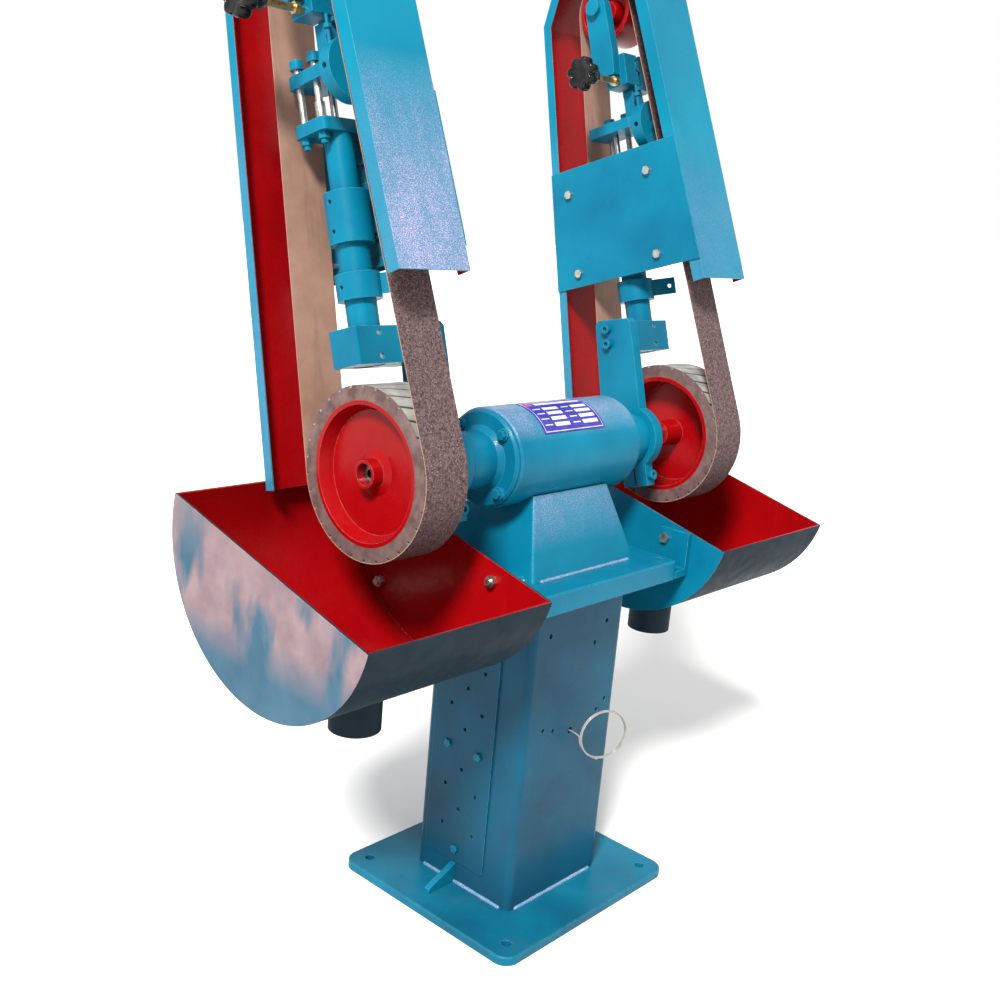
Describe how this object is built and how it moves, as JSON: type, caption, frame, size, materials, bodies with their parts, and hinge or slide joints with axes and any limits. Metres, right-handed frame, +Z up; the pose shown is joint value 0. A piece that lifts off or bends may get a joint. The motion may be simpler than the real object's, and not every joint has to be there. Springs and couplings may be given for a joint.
{
  "type": "double-ended pedestal belt grinder",
  "caption": "Pedestal belt grinder: a motor on a column drives a contact wheel at each end, with leaning belt arms, folded guards, tracking knobs and dust troughs.",
  "frame": {"origin": "centre of the base plate's underside, on the floor", "axes": "+Z up; +X along the motor shaft towards the right-hand belt unit; the operator stands on the -Y side and the belt arms lean towards +Y"},
  "size_m": [1.08, 0.5346, 1.5177],
  "materials": {
    "blue_paint": "glossy hammertone blue paint",
    "guard_paint": "blue paint outside, red paint inside",
    "red_paint": "glossy red paint",
    "trough_paint": "dusty blue-grey outside, red paint inside",
    "zinc": "zinc plated",
    "bright_steel": "turned",
    "bearing_steel": "ground",
    "core_steel": "laminated sheet",
    "spring_steel": "drawn wire",
    "tyre_rubber": "pale grey serrated rubber, dusty",
    "abrasive_belt": "grit outside, tan cloth backing inside",
    "black_plastic": "moulded",
    "brass": "threaded",
    "nameplate_print": "printed blue",
    "wire_sheath": "thin pale sheath"
  },
  "bodies": {
    "stand": {"base_plate": "blue_paint", "column": "blue_paint", "column_cover": "blue_paint", "cover_screws": "zinc", "column_gusset": "blue_paint", "top_plate": "blue_paint", "motor_seat": "blue_paint", "motor_housing": "blue_paint", "end_bells": "blue_paint", "end_bell_screws": "blue_paint", "nameplate": "nameplate_print", "stator_core": "core_steel", "shaft_bearings": "bearing_steel", "wire_loop": "wire_sheath", "trough_left": "trough_paint", "trough_right": "trough_paint", "trough_brackets": "blue_paint", "trough_bolts": "zinc"},
    "rotor": {"rotor_core": "core_steel", "motor_shaft": "bright_steel", "contact_wheels": "red_paint", "contact_tyres": "tyre_rubber"},
    "arm_left": {"arm_bracket_left": "blue_paint", "arm_screws_left": "zinc", "post_clamp_left": "blue_paint", "post_left": "blue_paint", "post_collars_left": "blue_paint", "guard_front_left": "guard_paint", "guard_back_left": "guard_paint", "guard_panel_left": "blue_paint", "lower_plate_left": "blue_paint", "guide_bolts_left": "zinc", "tension_spring_left": "spring_steel", "belt_left": "abrasive_belt"},
    "carriage_left": {"upper_plate_left": "blue_paint", "pivot_disc_left": "blue_paint", "head_block_left": "blue_paint"},
    "head_left": {"idler_arm_left": "blue_paint"},
    "idler_left": {"idler_wheel_left": "red_paint"},
    "knob_left": {"tracking_knob_left": "black_plastic", "tracking_screw_left": "brass"},
    "arm_right": {"arm_bracket_right": "blue_paint", "arm_screws_right": "zinc", "post_clamp_right": "blue_paint", "post_right": "blue_paint", "post_collars_right": "blue_paint", "guard_front_right": "guard_paint", "guard_back_right": "guard_paint", "guard_panel_right": "blue_paint", "lower_plate_right": "blue_paint", "guide_bolts_right": "zinc", "tension_spring_right": "spring_steel", "belt_right": "abrasive_belt"},
    "carriage_right": {"upper_plate_right": "blue_paint", "pivot_disc_right": "blue_paint", "head_block_right": "blue_paint"},
    "head_right": {"idler_arm_right": "blue_paint"},
    "idler_right": {"idler_wheel_right": "red_paint"},
    "knob_right": {"tracking_knob_right": "black_plastic", "tracking_screw_right": "brass"}
  },
  "joints": [
    {"name": "shaft_spin", "type": "hinge", "parent": "stand", "child": "rotor", "pos_m": [0, 0, 0.73], "axis": [1, 0, 0], "continuous": true},
    {"name": "arm_swing_left", "type": "hinge", "parent": "stand", "child": "arm_left", "pos_m": [-0.3375, 0, 0.73], "axis": [1, 0, 0], "range_deg": [-4, 4]},
    {"name": "tension_slide_left", "type": "slide", "parent": "arm_left", "child": "carriage_left", "axis": [0, 0.2924, 0.9563], "range_m": [-0.02, 0], "stiffness_N_per_m": 4000, "springref_m": 0.04, "deforming": ["belt_left", "tension_spring_left"]},
    {"name": "tracking_tilt_left", "type": "hinge", "parent": "carriage_left", "child": "head_left", "pos_m": [-0.3425, 0.17118, 1.33436], "axis": [0, 0.9563, -0.2924], "range_deg": [-1.5, 1.5]},
    {"name": "idler_spin_left", "type": "hinge", "parent": "head_left", "child": "idler_left", "pos_m": [-0.3375, 0.213, 1.4267], "axis": [1, 0, 0], "continuous": true},
    {"name": "knob_turn_left", "type": "hinge", "parent": "head_left", "child": "knob_left", "pos_m": [-0.4575, 0.16071, 1.31037], "axis": [1, 0, 0], "range_deg": [-180, 180]},
    {"name": "arm_swing_right", "type": "hinge", "parent": "stand", "child": "arm_right", "pos_m": [0.3375, 0, 0.73], "axis": [1, 0, 0], "range_deg": [-4, 4]},
    {"name": "tension_slide_right", "type": "slide", "parent": "arm_right", "child": "carriage_right", "axis": [0, 0.2924, 0.9563], "range_m": [-0.02, 0], "stiffness_N_per_m": 4000, "springref_m": 0.04, "deforming": ["belt_right", "tension_spring_right"]},
    {"name": "tracking_tilt_right", "type": "hinge", "parent": "carriage_right", "child": "head_right", "pos_m": [0.3325, 0.17118, 1.33436], "axis": [0, 0.9563, -0.2924], "range_deg": [-1.5, 1.5]},
    {"name": "idler_spin_right", "type": "hinge", "parent": "head_right", "child": "idler_right", "pos_m": [0.3375, 0.213, 1.4267], "axis": [1, 0, 0], "continuous": true},
    {"name": "knob_turn_right", "type": "hinge", "parent": "head_right", "child": "knob_right", "pos_m": [0.2175, 0.16071, 1.31037], "axis": [1, 0, 0], "range_deg": [-180, 180]}
  ],
  "couplings": [
    {"joint": "idler_spin_left", "follows": "shaft_spin", "ratio": 2.3077},
    {"joint": "knob_turn_left", "follows": "tracking_tilt_left", "ratio": 120},
    {"joint": "idler_spin_right", "follows": "shaft_spin", "ratio": 2.3077},
    {"joint": "knob_turn_right", "follows": "tracking_tilt_right", "ratio": 120}
  ]
}
